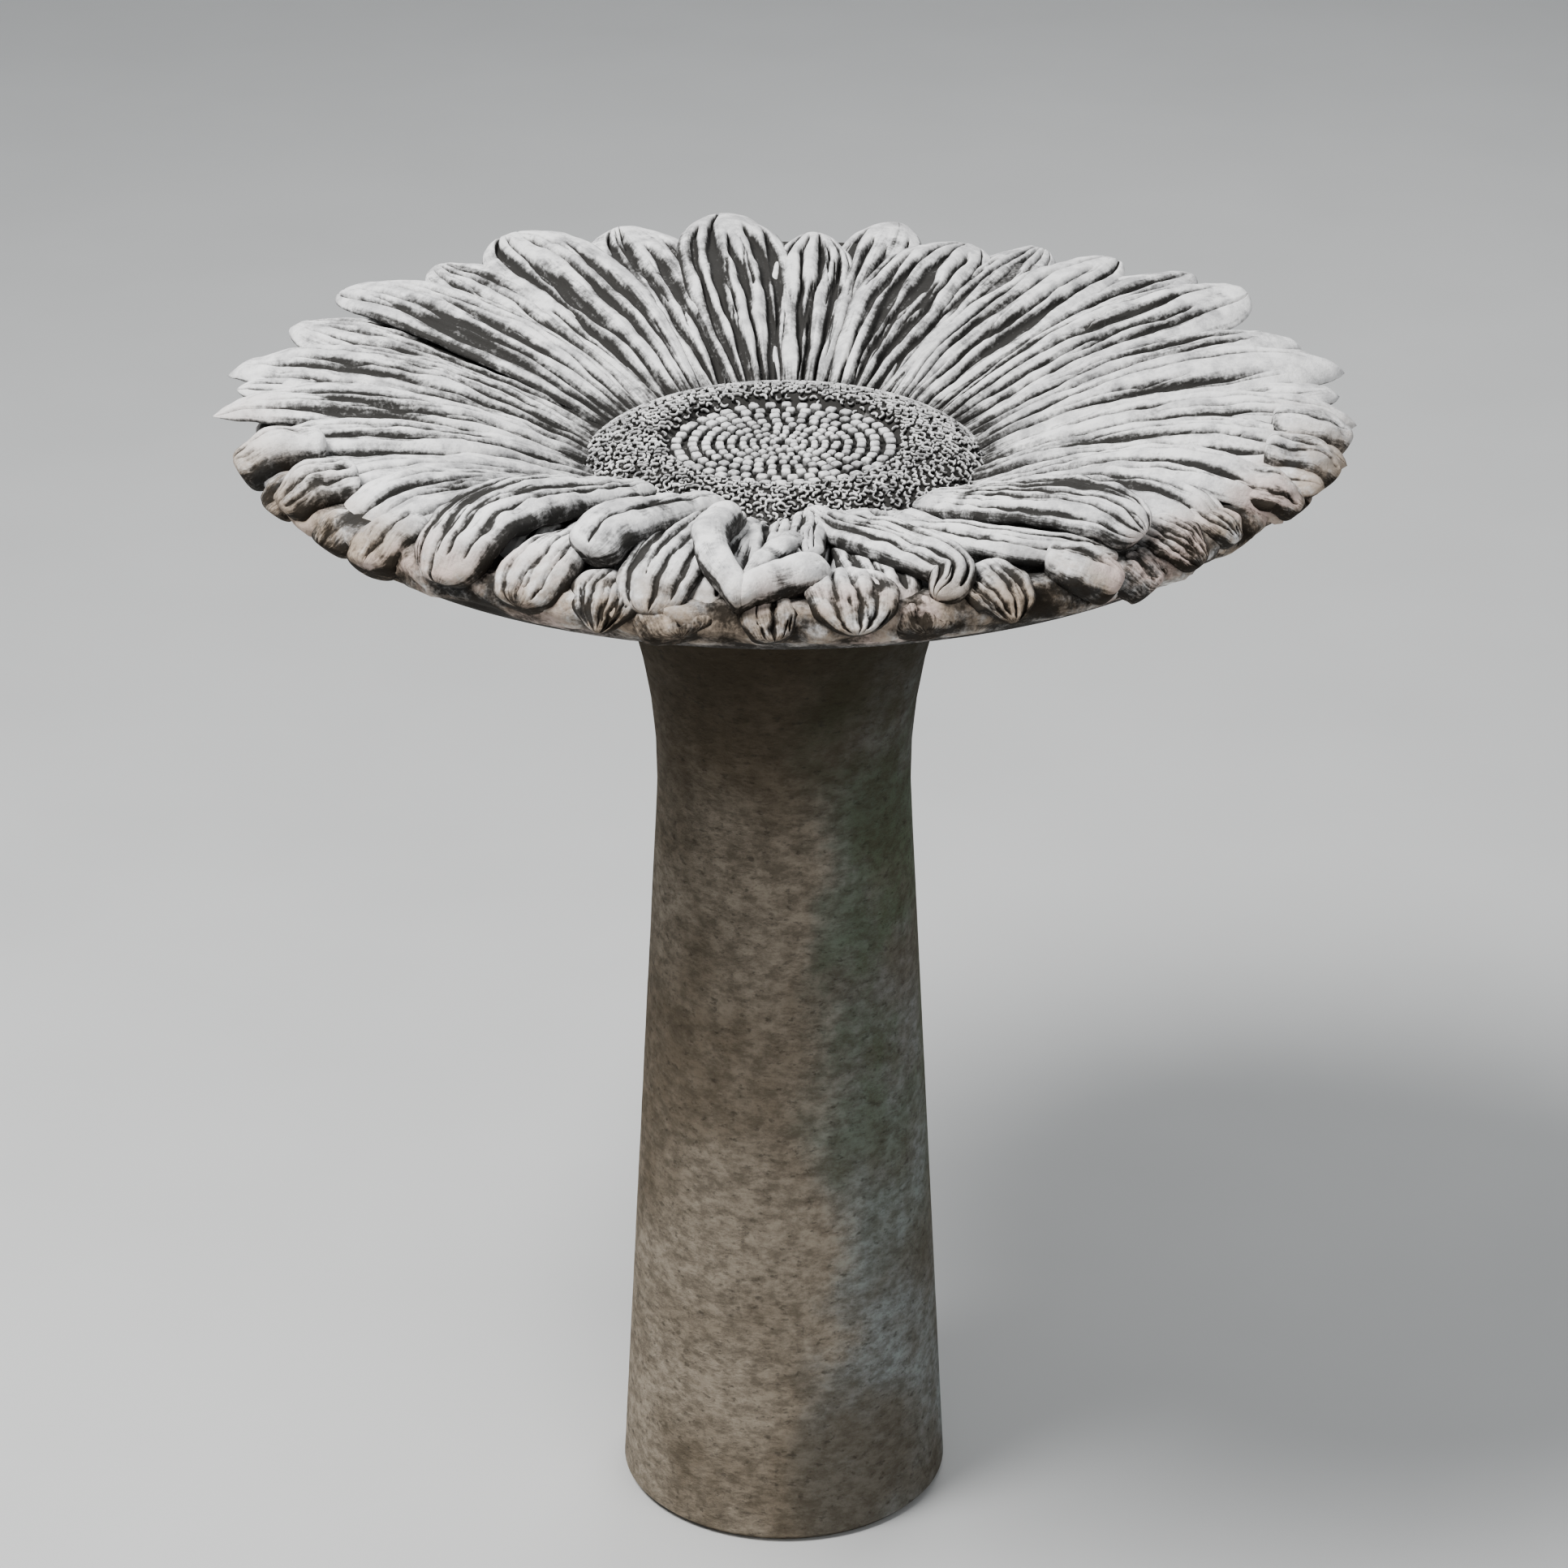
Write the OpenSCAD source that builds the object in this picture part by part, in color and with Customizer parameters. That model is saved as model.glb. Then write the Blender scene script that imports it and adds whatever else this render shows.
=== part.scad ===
// Two-piece cast-stone bird bath: a flower-head bowl that rests on a hollow,
// flared pedestal. The origin is the centre of the pedestal's foot, on the ground.
// The front of the flower faces -Y. Petal bearings are degrees from the front,
// turning towards +X. All lengths are millimetres.

/* [Pedestal] */
// Height of the pedestal, without the pads
pedestal_h = 575; // [540:5:600]
// Radius of the foot
foot_r = 94; // [88:1:110]
// Loss of radius for each millimetre of height
taper = 0.055; // [0.040:0.005:0.060]
// Height at which the trumpet flare begins
flare_z = 430; // [400:5:450]
// Strength of the flare, as the factor of a parabola
flare_k = 0.00154; // [0.0010:0.00002:0.0018]
// Radius of the hollow core
core_r = 38; // [30:1:42]
// Radius of the socket that takes the bowl's boss
socket_r = 46; // [44:1:50]
// Depth of that socket
socket_d = 35; // [32:1:45]

/* [Pads] */
// Number of rubber pads between pedestal and bowl
pad_count = 3; // [3:1:6]
// Radius of a pad
pad_r = 11; // [8:1:14]
// Thickness of a pad
pad_t = 3; // [2:0.5:5]

/* [Bowl] */
// Radius of the bowl's rim under the petals
rim_r = 282; // [276:1:286]
// Height of the rim's lower edge above the seat
rim_rise = 62; // [58:1:63]
// Height of the flower's floor above the seat
floor_rise = 49; // [47:1:51]
// Radius of the flat seat under the bowl
seat_r = 101; // [98:1:115]
// Radius of the locating boss
boss_r = 42.5; // [40:0.5:43]
// Length of the locating boss
boss_l = 25; // [18:1:28]

/* [Flower] */
// Outer radius of the cushion of florets
cushion_r = 107; // [100:1:112]
// Outer radius of the seed disc inside it
seed_r = 63; // [55:1:68]
// Height of the cushion above the floor
cushion_h = 18; // [14:1:20]
// Height of the seed disc above the floor
seed_h = 12; // [8:1:13]
// Rise of the large petals from the cushion to their crest
petal_rise = 37; // [33:1:39]
// Height of the large petals above the saucer they lie on
relief = 8; // [6:1:9]
// Thickness of a large petal where it leaves the rim
petal_t = 11; // [10:1:12]
// Half width of a small petal of the lower layer
under_w = 19; // [15:1:22]
// Thickness of a small petal
under_t = 6; // [4:1:6]

/* [Hidden] */
$fn = 96;

seat_z = pedestal_h + pad_t;
rim_z = seat_z + rim_rise;
floor_z = seat_z + floor_rise;
seat_edge = 3;       // worn outer edge of the seat, which the pads keep off
pad_ring_r = (socket_r + seat_r - seat_edge) / 2;
chamfer = 4;
pad_gap = 0.05;      // hair's breadth between a pad and the stone on either side
belly_bow = 0.38;    // how hollow the bowl's underside is: 0 is a straight cone
rim_turn = 6;        // the underside stops this far inside the rim, then turns up
lap = 10;            // the cushion's cutting box passes its edges by this much
petal_root_r = 80;   // large petals start under the cushion of florets
under_root_r = 245;  // small petals start inside the rim
step_up = 3;         // the petals leave the cushion this far above the floor
crest_r = 240;       // radius at which the large petals are highest
past_crest = 25;     // the last band of the arch ends this far past the crest
droop = 9;           // fall of the petals' arch, droop_run beyond its crest
droop_run = 65;
reach_r = 310;       // the arch is turned out to here, past every tip
bands = 5;           // turned bands in the petals' arch
sunk = 7;            // the flower's centre reaches this far into the saucer
fill = 0.47;         // share of the way to its neighbour that a petal's half width takes

// Large petals: bearing, tip radius.
UPPER = [
    [270.5, 304], [257, 305], [234, 304], [211, 303], [188, 300], [173, 292], [157, 292],
    [140, 302], [123, 304], [110, 304], [98.5, 305], [87, 304.5], [74, 297], [60, 284],
    [45, 274], [30, 268], [15, 272], [359, 272], [343, 270], [328, 268], [313, 272], [298, 284],
    [284.5, 298]
];
// Small petals of the lower layer: bearing, tip radius.
UNDER = [
    [245.5, 299], [221, 297], [199, 299], [166, 298], [149, 297], [131.5, 303], [104.5, 300],
    [81, 299], [67, 302], [53, 300], [38, 298], [23, 297], [7, 294], [351, 296], [336, 294],
    [321, 294], [306, 293], [291, 294]
];

function pedestal_r(z) = foot_r - taper * z + flare_k * pow(max(0, z - flare_z), 2);
// Height of the large petals' tops at radius r: a steep arch that droops at the tip.
function arch(r) = floor_z + step_up
                   + petal_rise * sin(90 * min(1, max(0, r - cushion_r) / (crest_r - cushion_r)))
                   - droop * pow(max(0, r - crest_r) / droop_run, 2);
// Radii where the arch changes slope.
function band_r(i) = cushion_r + i * (crest_r + past_crest - cushion_r) / bands;
// Angle from one bearing on to another.
function turn(a, b) = let (d = abs(a - b)) min(d, 360 - d);
// Half width that leaves room for the nearer neighbour.
function half_width(i) =
    let (n = len(UPPER), mid_r = (petal_root_r + UPPER[i][1]) / 2,
         gap = min(turn(UPPER[i][0], UPPER[(i + 1) % n][0]), turn(UPPER[i][0], UPPER[(i + n - 1) % n][0])))
    fill * gap * PI / 180 * mid_r;

module pedestal() {
    steps = 22;
    lip = 6;
    side = [for (i = [0:steps]) let (z = chamfer + i * (pedestal_h - lip - chamfer) / steps)
            [pedestal_r(z), z]];
    top_r = pedestal_r(pedestal_h - lip);
    color("dimgray")
    rotate_extrude()
        polygon(concat(
            [[core_r, 0], [foot_r - chamfer, 0]],
            side,
            [[top_r, pedestal_h - chamfer / 2], [top_r - chamfer / 2, pedestal_h],
             [socket_r, pedestal_h], [socket_r, pedestal_h - socket_d],
             [core_r, pedestal_h - socket_d]]));
}

module seat_pad(i) {
    color("black")
    rotate(i * 360 / pad_count)
        translate([0, pad_ring_r, pedestal_h + pad_gap])
            cylinder(r = pad_r, h = pad_t - 2 * pad_gap);
}

// Boss, seat, underside, rim and dished floor.
module saucer() {
    steps = 4;
    belly = [for (i = [0:steps]) let (t = i / steps, r = seat_r + t * (rim_r - rim_turn - seat_r))
             [r, seat_z + rim_rise * ((1 - belly_bow) * t + belly_bow * t * t)]];
    dish = [for (i = [bands:-1:0]) [band_r(i), arch(band_r(i)) - relief]];
    rotate_extrude()
        polygon(concat(
            [[0, seat_z - boss_l], [boss_r - chamfer, seat_z - boss_l],
             [boss_r, seat_z - boss_l + chamfer], [boss_r, seat_z]],
            belly,
            [[rim_r, rim_z + chamfer], [rim_r, dish[0][1] - chamfer], [rim_r - chamfer, dish[0][1]]],
            dish,
            [[0, dish[bands][1]]]));
}

// Cushion of florets round a low disc of seeds.
module flower_centre() {
    half = (cushion_r - seed_r + 6) / 2;
    arc_r = (half * half + cushion_h * cushion_h) / (2 * cushion_h);
    rotate_extrude()
        intersection() {
            translate([cushion_r - half, floor_z + cushion_h - arc_r]) circle(arc_r);
            translate([seed_r - lap, floor_z - sunk])
                square([cushion_r - seed_r + 2 * lap, cushion_h + 2 * sunk]);
        }
    translate([0, 0, floor_z - sunk]) cylinder(r = seed_r - 2, h = seed_h + sunk);
}

// Pointed outline of one petal, between two circles, from radius from_r out to its tip at to_r.
module outline(bearing, from_r, to_r, half_w) {
    len = to_r - from_r;
    side_r = (len * len / 4 + half_w * half_w) / (2 * half_w);
    rotate(bearing - 90)
        translate([(from_r + to_r) / 2, 0])
            intersection() {
                translate([0, side_r - half_w]) circle(side_r);
                translate([0, half_w - side_r]) circle(side_r);
            }
}

// The large petals: their outlines cut from a turned shell that has the arch.
module upper_fan() {
    top = concat(
        [[petal_root_r, arch(0)]],
        [for (i = [0:bands]) [band_r(i), arch(band_r(i))]],
        [[reach_r, arch(reach_r)]]);
    intersection() {
        translate([0, 0, seat_z])
            linear_extrude(rim_rise * 2)
                for (i = [0:len(UPPER) - 1])
                    outline(UPPER[i][0], petal_root_r, UPPER[i][1], half_width(i));
        rotate_extrude()
            polygon(concat(top, [for (i = [len(top) - 1:-1:0]) top[i] - [0, petal_t]]));
    }
}

// Small petals that stick out of the rim under the large ones.
module under_fan() {
    translate([0, 0, rim_z + 1])
        linear_extrude(under_t)
            for (p = UNDER) outline(p[0], under_root_r, p[1], under_w);
}

module bowl() {
    color("gainsboro")
    union() {
        saucer();
        flower_centre();
        upper_fan();
        under_fan();
    }
}

pedestal();
bowl();
for (i = [1:pad_count])
    seat_pad(i);
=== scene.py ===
# %% [markdown]
# # A cast-stone bird bath
# The real bath is two concrete castings: a round pedestal that flares at the top, and a wide
# bowl shaped like an open daisy. Rubber pads keep the bowl from rocking on the pedestal.
# The stone was brushed with a pale wash that stays on the high places, while dark patina
# sits in every groove. Most of the look comes from that contrast, so each piece of the flower
# carries a vertex attribute named "wash" that says how much pale wash each point of it holds.
# The same attribute carries painted shade too: it is lowered along the pieces' edges, on the
# lower parts of the front rim and on the lower ring of petals.

import math

import bpy
import numpy as np
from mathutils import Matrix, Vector


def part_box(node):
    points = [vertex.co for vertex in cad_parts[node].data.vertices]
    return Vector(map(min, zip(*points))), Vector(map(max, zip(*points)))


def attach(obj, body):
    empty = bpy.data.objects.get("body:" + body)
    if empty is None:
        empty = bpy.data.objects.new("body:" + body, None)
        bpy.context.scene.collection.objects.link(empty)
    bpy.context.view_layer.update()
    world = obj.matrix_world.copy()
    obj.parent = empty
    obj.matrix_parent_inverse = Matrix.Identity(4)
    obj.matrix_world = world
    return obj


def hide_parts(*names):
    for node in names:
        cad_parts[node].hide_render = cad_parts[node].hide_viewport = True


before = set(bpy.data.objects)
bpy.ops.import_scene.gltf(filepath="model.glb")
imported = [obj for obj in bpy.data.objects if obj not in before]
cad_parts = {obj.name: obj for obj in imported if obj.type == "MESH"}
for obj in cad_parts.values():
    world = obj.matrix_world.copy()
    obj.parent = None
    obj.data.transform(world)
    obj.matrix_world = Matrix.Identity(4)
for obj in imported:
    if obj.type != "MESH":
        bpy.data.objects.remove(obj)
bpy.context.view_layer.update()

# %% [markdown]
# ## Measurements
# All lengths are metres and all angles in tables are degrees. A bearing is counted from the front
# of the flower, which faces -Y, and turns towards +X. The bowl's seat is its flat underside above
# the locating boss, and the flower's other heights are measured up from there.

# %% Measurements
PEDESTAL_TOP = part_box("pedestal")[1].z
BOSS_LENGTH = 0.025
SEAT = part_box("bowl")[0].z + BOSS_LENGTH
FLOOR = SEAT + 0.047
CUSHION_R = 0.107
SEED_R = 0.0625
PETAL_ROOT_R = 0.085
RIM_R = 0.2820

# Rain stains grow outwards between two radii, fade upwards between two heights, and fade
# towards the back between two values of y.
STAIN_RADII = (0.250, 0.282)
STAIN_HEIGHTS = (SEAT + 0.078, SEAT + 0.109)
STAIN_DEPTHS = (0.02, -0.10)


def smooth(low, high, x):
    """0 at low, 1 at high, and an even S-curve between. Low may be the larger of the two."""
    t = np.clip((x - low) / (high - low), 0, 1)
    return t * t * (3 - 2 * t)


def ripple(points, size, seed):
    """Soft random swells, about -1 to 1, that repeat roughly every size metres."""
    rng = np.random.default_rng(seed)
    total = np.zeros(len(points))
    waves = 9
    for _ in range(waves):
        way = rng.normal(size=3)
        way = way / np.linalg.norm(way)
        pitch = size * rng.uniform(0.6, 1.5)
        total += np.sin(points @ way * (2 * math.pi / pitch) + rng.uniform(0, 2 * math.pi))
    return total / (waves / 2)


def coords(piece):
    """The mesh's vertices as an array with one row per point."""
    flat = np.zeros(len(piece.data.vertices) * 3)
    piece.data.vertices.foreach_get("co", flat)
    return flat.reshape(-1, 3)


def reshape(piece, points, wash_and_shade):
    """Moves every vertex of a mesh and stores its pale wash, less painted shade, and its rain stain.
    """
    piece.data.vertices.foreach_set("co", points.ravel())
    x, y, z = points.T
    stain = smooth(*STAIN_RADII, np.hypot(x, y))
    stain = stain * (1 - smooth(*STAIN_HEIGHTS, z)) * smooth(*STAIN_DEPTHS, y)
    for layer_name, values in (("wash_and_shade", wash_and_shade), ("stain", stain)):
        layer = piece.data.attributes.new(layer_name, "FLOAT", "POINT")
        layer.data.foreach_set("value", np.clip(values, 0, 1).astype(np.float32))
    piece.data.update()


def closed_ball(name, segments, rings):
    """A sphere to be reshaped. Its rings run from one pole to the other, so it is always closed."""
    bpy.ops.object.select_all(action="DESELECT")
    bpy.ops.mesh.primitive_uv_sphere_add(segments=segments, ring_count=rings, radius=1)
    ball = bpy.context.object
    ball.name = name
    ball.data.name = name
    bpy.ops.object.shade_smooth()
    return ball


def ball_angles(ball):
    """For each vertex: how far it is from the lower pole to the upper (0 to 1), and its bearing."""
    points = coords(ball)
    along = np.arcsin(np.clip(points[:, 2], -1, 1)) / math.pi + 0.5
    around = np.arctan2(points[:, 1], points[:, 0])
    return along, around


def crowded(along, crowding):
    """Moves a ball's slices closer together towards both ends."""
    return (1 - crowding) * along + crowding * (0.5 - 0.5 * np.cos(math.pi * along))


def over_and_under(around, top_share, crowding):
    """Lays each slice's vertices over its top, then back underneath.

    Gives the place across the slice, from -1 to 1 and crowded at its edges, and what is on top.
    """
    turn = (around / (2 * math.pi)) % 1.0
    on_top = turn < top_share
    even = np.where(on_top, 1 - 2 * turn / top_share, -1 + 2 * (turn - top_share) / (1 - top_share))
    return (1 - crowding) * even + crowding * np.sin(math.pi / 2 * even), on_top


print("seat", round(SEAT, 4), "pedestal top", round(PEDESTAL_TOP, 4))

# %% [markdown]
# ## One recipe for every petal
# Each petal starts as a sphere. The sphere's rings become slices across the petal, from root
# to tip, so the mesh is closed and its edges come out rounded like cast stone. The centre line
# is drawn by adding up small steps at a changing slope: steep where the petal leaves the
# flower's centre, level further out, and falling or curling right over at the tip.
# Grooves run lengthwise. They wander a little, and some stop short, which is what keeps a
# row of petals from looking stamped out. The slopes below are in degrees, at six places along a
# petal: LYING and RISING petals are open, CURLING ones bend down over the rim, and FILLING ones
# fill the space behind the front curls.

# %% Petal recipe
SLOPE_AT = (0, 0.2, 0.4, 0.6, 0.8, 1)
LYING = (31, 25, 15, 8, -1, -18)
RISING = (31, 25, 15, 9, 5, -4)
CURLING = (31, 27, 20, 14, -2, -62)
FILLING = (40, 33, 20, 8, -10, -50)
STEPS = 400  # places along the centre line at which the slope is added up
PETAL_THICK = 0.010
GROOVE_DEPTH = 0.0050
WIDEST_AT = 0.66  # share of the way along
ROOT_WIDTH = 0.34  # share of the widest
ROOT_END = 0.05  # share of the length over which the root's own end is rounded


def petal_outline(v, blunt):
    """Half width, as a share of the widest, for each distance v along the petal.

    It widens from the root, closes at the tip (pointed at blunt 0, round at 1), and the root's
    own end is rounded.
    """
    widening = np.sin(math.pi / 2 * np.clip(v / WIDEST_AT, 0, 1)) ** 1.3
    grow = ROOT_WIDTH + (1 - ROOT_WIDTH) * widening
    t = np.clip((v - WIDEST_AT) / (1 - WIDEST_AT), 0, 1)
    close = (1 - t ** (2 + 1.6 * blunt)) ** (0.95 - 0.47 * blunt)
    before = (ROOT_END - np.minimum(v, ROOT_END)) / ROOT_END
    start = np.sqrt(np.clip(1 - before ** 2, 0, 1))
    return grow * close * start


def stroke(u, v, middle, wide, start, end, rng):
    """A groove drawn like a brush stroke: widest half way, tapering to nothing at both ends.

    Gives the sharp groove and the soft valley round it, each 1 along the stroke and 0 away from it.
    """
    bow = 0.07 * np.sin(2 * math.pi * (0.8 * v + rng.uniform()))
    shiver = 0.028 * np.sin(2 * math.pi * (2.7 * v + rng.uniform()))
    shiver += 0.014 * np.sin(2 * math.pi * (6.3 * v + rng.uniform()))
    t = np.clip((v - start) / (end - start), 0, 1)
    swelling = 0.75 + 0.35 * np.sin(2 * math.pi * (1.9 * v + rng.uniform()))
    half = np.maximum(wide * np.sin(math.pi * t) ** 0.55 * swelling, 1e-4)
    away = np.abs(u - middle - (bow + shiver) * (1 - middle * middle)) / half
    present = smooth(0, 0.04, t) * (1 - smooth(0.96, 1, t))
    return present * (1 - smooth(0.45, 1.25, away)), present * (1 - smooth(0.6, 3.2, away))


def grooves(u, v, count, seed):
    """Depth of the sharp grooves and of the soft valleys round them, from 0 on a ridge to 1."""
    rng = np.random.default_rng(seed)
    core = np.zeros_like(u)
    valley = np.zeros_like(u)
    for k in range(1, count):
        middle = -1 + 2 * (k + rng.uniform(-0.18, 0.18)) / count
        wide = rng.uniform(0.065, 0.140)
        start = rng.uniform(-0.2, 0.12)
        end = rng.uniform(0.80, 1.1)
        sharp, soft = stroke(u, v, middle, wide, start, end, rng)
        core = np.maximum(core, sharp)
        valley = np.maximum(valley, soft)
    short_strokes = count + 2 if count > 1 else 0
    for _ in range(short_strokes):
        start = rng.uniform(0.05, 0.7)
        wide = rng.uniform(0.028, 0.055)
        middle = rng.uniform(-0.85, 0.85)
        end = start + rng.uniform(0.15, 0.4)
        sharp, soft = stroke(u, v, middle, wide, start, end, rng)
        core = np.maximum(core, 0.8 * sharp)
        valley = np.maximum(valley, 0.5 * soft)
    return core, valley


def petal(name, bearing, reach, half_width, ridges, slopes, seed, root_z, blunt, crown,
          sweep=0.0, twist=0.0, shade_beneath=0.0, segments=120, rings=84):
    """One petal that leaves the flower's centre on its bearing and ends at the radius reach.

    The crown is how far its middle arches up across it, sweep bends its tip sideways, twist turns
    the tip about the centre line in degrees, and dim takes away some of the pale wash as painted
    shade, for petals that lie under others.
    """
    piece = closed_ball(name, segments, rings)
    along, around = ball_angles(piece)
    v = crowded(along, crowding=0.22)

    # The centre line: how far out and how high it is, added up from small steps.
    steps = np.linspace(0, 1, STEPS)
    slope = np.radians(np.interp(steps, SLOPE_AT, slopes))
    out = np.concatenate([[0], np.cumsum(np.cos(slope[:-1]) / (STEPS - 1))])
    rise = np.concatenate([[0], np.cumsum(np.sin(slope[:-1]) / (STEPS - 1))])
    length = (reach - PETAL_ROOT_R) / out.max()
    radius = PETAL_ROOT_R + length * np.interp(v, steps, out)
    height = root_z + length * np.interp(v, steps, rise)
    lean = np.interp(v, steps, slope)

    # Each slice: a thin rounded body, with grooves cut into its top.
    half = half_width * petal_outline(v, blunt)
    u, on_top = over_and_under(around, top_share=0.70, crowding=0.30)
    edge = np.sqrt(np.clip(1 - np.abs(u) ** 4, 0, 1))
    thinning = np.clip(half / (0.35 * half_width), 0, 1) * (1 - 0.35 * smooth(0.7, 1, v))
    body = PETAL_THICK / 2 * edge * thinning
    core, valley = grooves(u, v, ridges, seed)
    full = half / half_width
    carved = GROOVE_DEPTH * (0.75 * core + 0.5 * valley) * np.clip(full * 1.7, 0, 1) * edge
    lift = np.where(on_top, body - carved, -body)
    bend = crown * (0.5 - u * u) * full
    across = half * u + sweep * v * v
    tilt = math.radians(twist) * smooth(0.15, 0.7, v)
    side = across * np.cos(tilt)
    up = lift + bend + half * u * np.sin(tilt)

    # The slices are stood on the centre line, turned to the bearing and worn a little.
    a = math.radians(bearing)
    outward = np.array([math.sin(a), -math.cos(a)])
    sideways = np.array([math.cos(a), math.sin(a)])
    r = radius - up * np.sin(lean)
    points = np.zeros((len(v), 3))
    points[:, :2] = r[:, None] * outward + side[:, None] * sideways
    points[:, 2] = height + up * np.cos(lean)
    worn = ripple(points, 0.030, seed + 50)
    points[:, 2] += 0.0008 * worn + 0.0003 * ripple(points, 0.009, seed + 90)

    # Pale on the ridges, dark in the grooves, underneath and near the root. Dark along the edges
    # is painted shade between neighbouring petals.
    streaks = ripple(np.stack([u * 0.9, v * 0.16, 0 * u], axis=1), 0.26, seed + 130)
    pale = 1.0 - shade_beneath - 0.95 * core - 0.52 * valley + 0.12 * worn + 0.18 * streaks
    # Painted shade along both edges, fading out towards the tip.
    pale -= 0.85 * smooth(0.86, 0.985, np.abs(u)) * (1 - smooth(0.72, 0.95, v))
    wash_and_shade = np.where(on_top, pale, 0.34 + 0.1 * worn)
    wash_and_shade *= 0.25 + 0.75 * smooth(0.10, 0.26, v)
    reshape(piece, points, wash_and_shade)
    return piece


# %% [markdown]
# ## The large petals
# Each row of the table is one petal: its bearing, the radius it reaches, its half width, how many
# ridges it has, how it slopes, how round its tip is, and its crown, sweep and twist. At the back
# and sides the petals lie open. At the front the table gives them a shorter reach, because the
# curls of the front rim cover their tips. Every other petal lies 2 mm lower than its neighbours,
# so that they overlap, and those at the front lie another 2 mm lower.

# %% Large petals
#    name            bearing  reach  half   ridges slopes   blunt crown  sweep   twist
LARGE = [
    ("petal_left_1", 271.0, 0.304, 0.0330, 6, LYING, 0.00, 0.008, 0.004, 4),
    ("petal_left_2", 258.0, 0.308, 0.0350, 6, LYING, 0.05, 0.007, 0.006, -3),
    ("petal_left_3", 234.0, 0.309, 0.0360, 6, LYING, 0.60, 0.006, 0.000, 4),
    ("petal_back_1", 212.5, 0.304, 0.0360, 5, RISING, 0.85, 0.004, -0.004, -4),
    ("petal_back_2", 187.0, 0.297, 0.0330, 6, RISING, 0.60, 0.006, 0.000, 2),
    ("petal_back_3", 175.5, 0.281, 0.0270, 5, RISING, 0.20, 0.006, 0.004, -2),
    ("petal_back_4", 158.5, 0.278, 0.0350, 6, RISING, 0.50, 0.005, -0.006, 5),
    ("petal_back_5", 140.5, 0.295, 0.0320, 5, RISING, 0.40, 0.006, -0.004, -4),
    ("petal_right_1", 121.0, 0.302, 0.0340, 5, RISING, 0.80, 0.007, 0.000, 4),
    ("petal_right_2", 109.5, 0.303, 0.0290, 4, LYING, 0.40, 0.009, 0.000, -5),
    ("petal_right_3", 99.5, 0.309, 0.0280, 4, LYING, 0.25, 0.009, 0.003, 4),
    ("petal_right_4", 87.0, 0.304, 0.0300, 4, LYING, 0.35, 0.010, 0.000, -3),
    ("petal_right_5", 74.5, 0.302, 0.0310, 5, LYING, 0.45, 0.009, 0.004, 5),
    ("petal_right_6", 60.0, 0.287, 0.0300, 4, CURLING, 0.60, 0.010, 0.010, -4),
    ("petal_front_1", 49.0, 0.280, 0.0290, 5, CURLING, 0.70, 0.010, 0.014, 6),
    ("petal_front_2", 37.0, 0.272, 0.0290, 4, FILLING, 0.50, 0.004, 0.010, -6),
    ("petal_front_3", 14.0, 0.262, 0.0290, 4, FILLING, 0.35, 0.002, 0.020, 4),
    ("petal_front_4", 1.0, 0.256, 0.0260, 4, FILLING, 0.30, 0.000, 0.000, 0),
    ("petal_front_5", 347.0, 0.262, 0.0280, 4, FILLING, 0.40, 0.002, -0.010, -4),
    ("petal_front_6", 333.0, 0.268, 0.0290, 5, FILLING, 0.60, 0.002, -0.010, -4),
    ("petal_front_7", 312.0, 0.274, 0.0340, 5, CURLING, 0.80, 0.006, -0.020, -6),
    ("petal_left_4", 297.0, 0.284, 0.0330, 5, LYING, 0.50, 0.009, -0.012, 5),
    ("petal_left_5", 284.0, 0.294, 0.0290, 5, LYING, 0.60, 0.008, 0.000, -4),
]
petals = []
for index, row in enumerate(LARGE):
    name, bearing, reach, half, ridges, slopes, blunt, crown, sweep, twist = row
    drop = 0.002 * (index % 2)
    if name.startswith("petal_front"):
        drop += 0.002
    made = petal(name, bearing, reach, half, ridges, slopes, seed=index + 1, blunt=blunt,
                 crown=crown, sweep=sweep, twist=twist, root_z=FLOOR - 0.011 - drop)
    petals.append(made)
print(len(petals), "large petals,", sum(len(p.data.polygons) for p in petals), "faces")

# %% [markdown]
# ## The small petals of the lower layer
# Under the large petals lies a second ring. It shows mostly as tips between the large petals at
# the back and sides. A row is a bearing, a reach, a half width, a number of ridges and how round
# the tip is.

# %% Small petals
TUCKED = (30, 24, 14, 9, 5, -4)
BEHIND = [
    ("behind_1", 246.0, 0.300, 0.034, 6, 0.50),
    ("behind_2", 222.0, 0.300, 0.032, 5, 0.50),
    ("behind_3", 198.5, 0.302, 0.033, 5, 0.85),
    ("behind_4", 167.5, 0.303, 0.026, 5, 0.60),
    ("behind_5", 149.5, 0.296, 0.030, 5, 0.45),
    ("behind_6", 131.0, 0.309, 0.028, 4, 0.60),
    ("behind_7", 104.5, 0.300, 0.026, 4, 0.50),
    ("behind_8", 93.0, 0.298, 0.026, 4, 0.50),
    ("behind_9", 67.0, 0.300, 0.030, 4, 0.60),
    ("behind_10", 20.0, 0.262, 0.026, 4, 0.60),
    ("behind_11", 337.0, 0.262, 0.026, 4, 0.60),
    ("behind_12", 264.5, 0.296, 0.024, 4, 0.40),
]
small_petals = []
for index, (name, bearing, reach, half, ridges, blunt) in enumerate(BEHIND):
    # The lower ring is painted darker, as painted shade under the large petals.
    made = petal(name, bearing, reach, half, ridges, TUCKED, seed=index + 201, blunt=blunt,
                 root_z=FLOOR - 0.0165, crown=0.004, shade_beneath=0.12, segments=96, rings=72)
    small_petals.append(made)
print(len(small_petals), "small petals")

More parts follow.
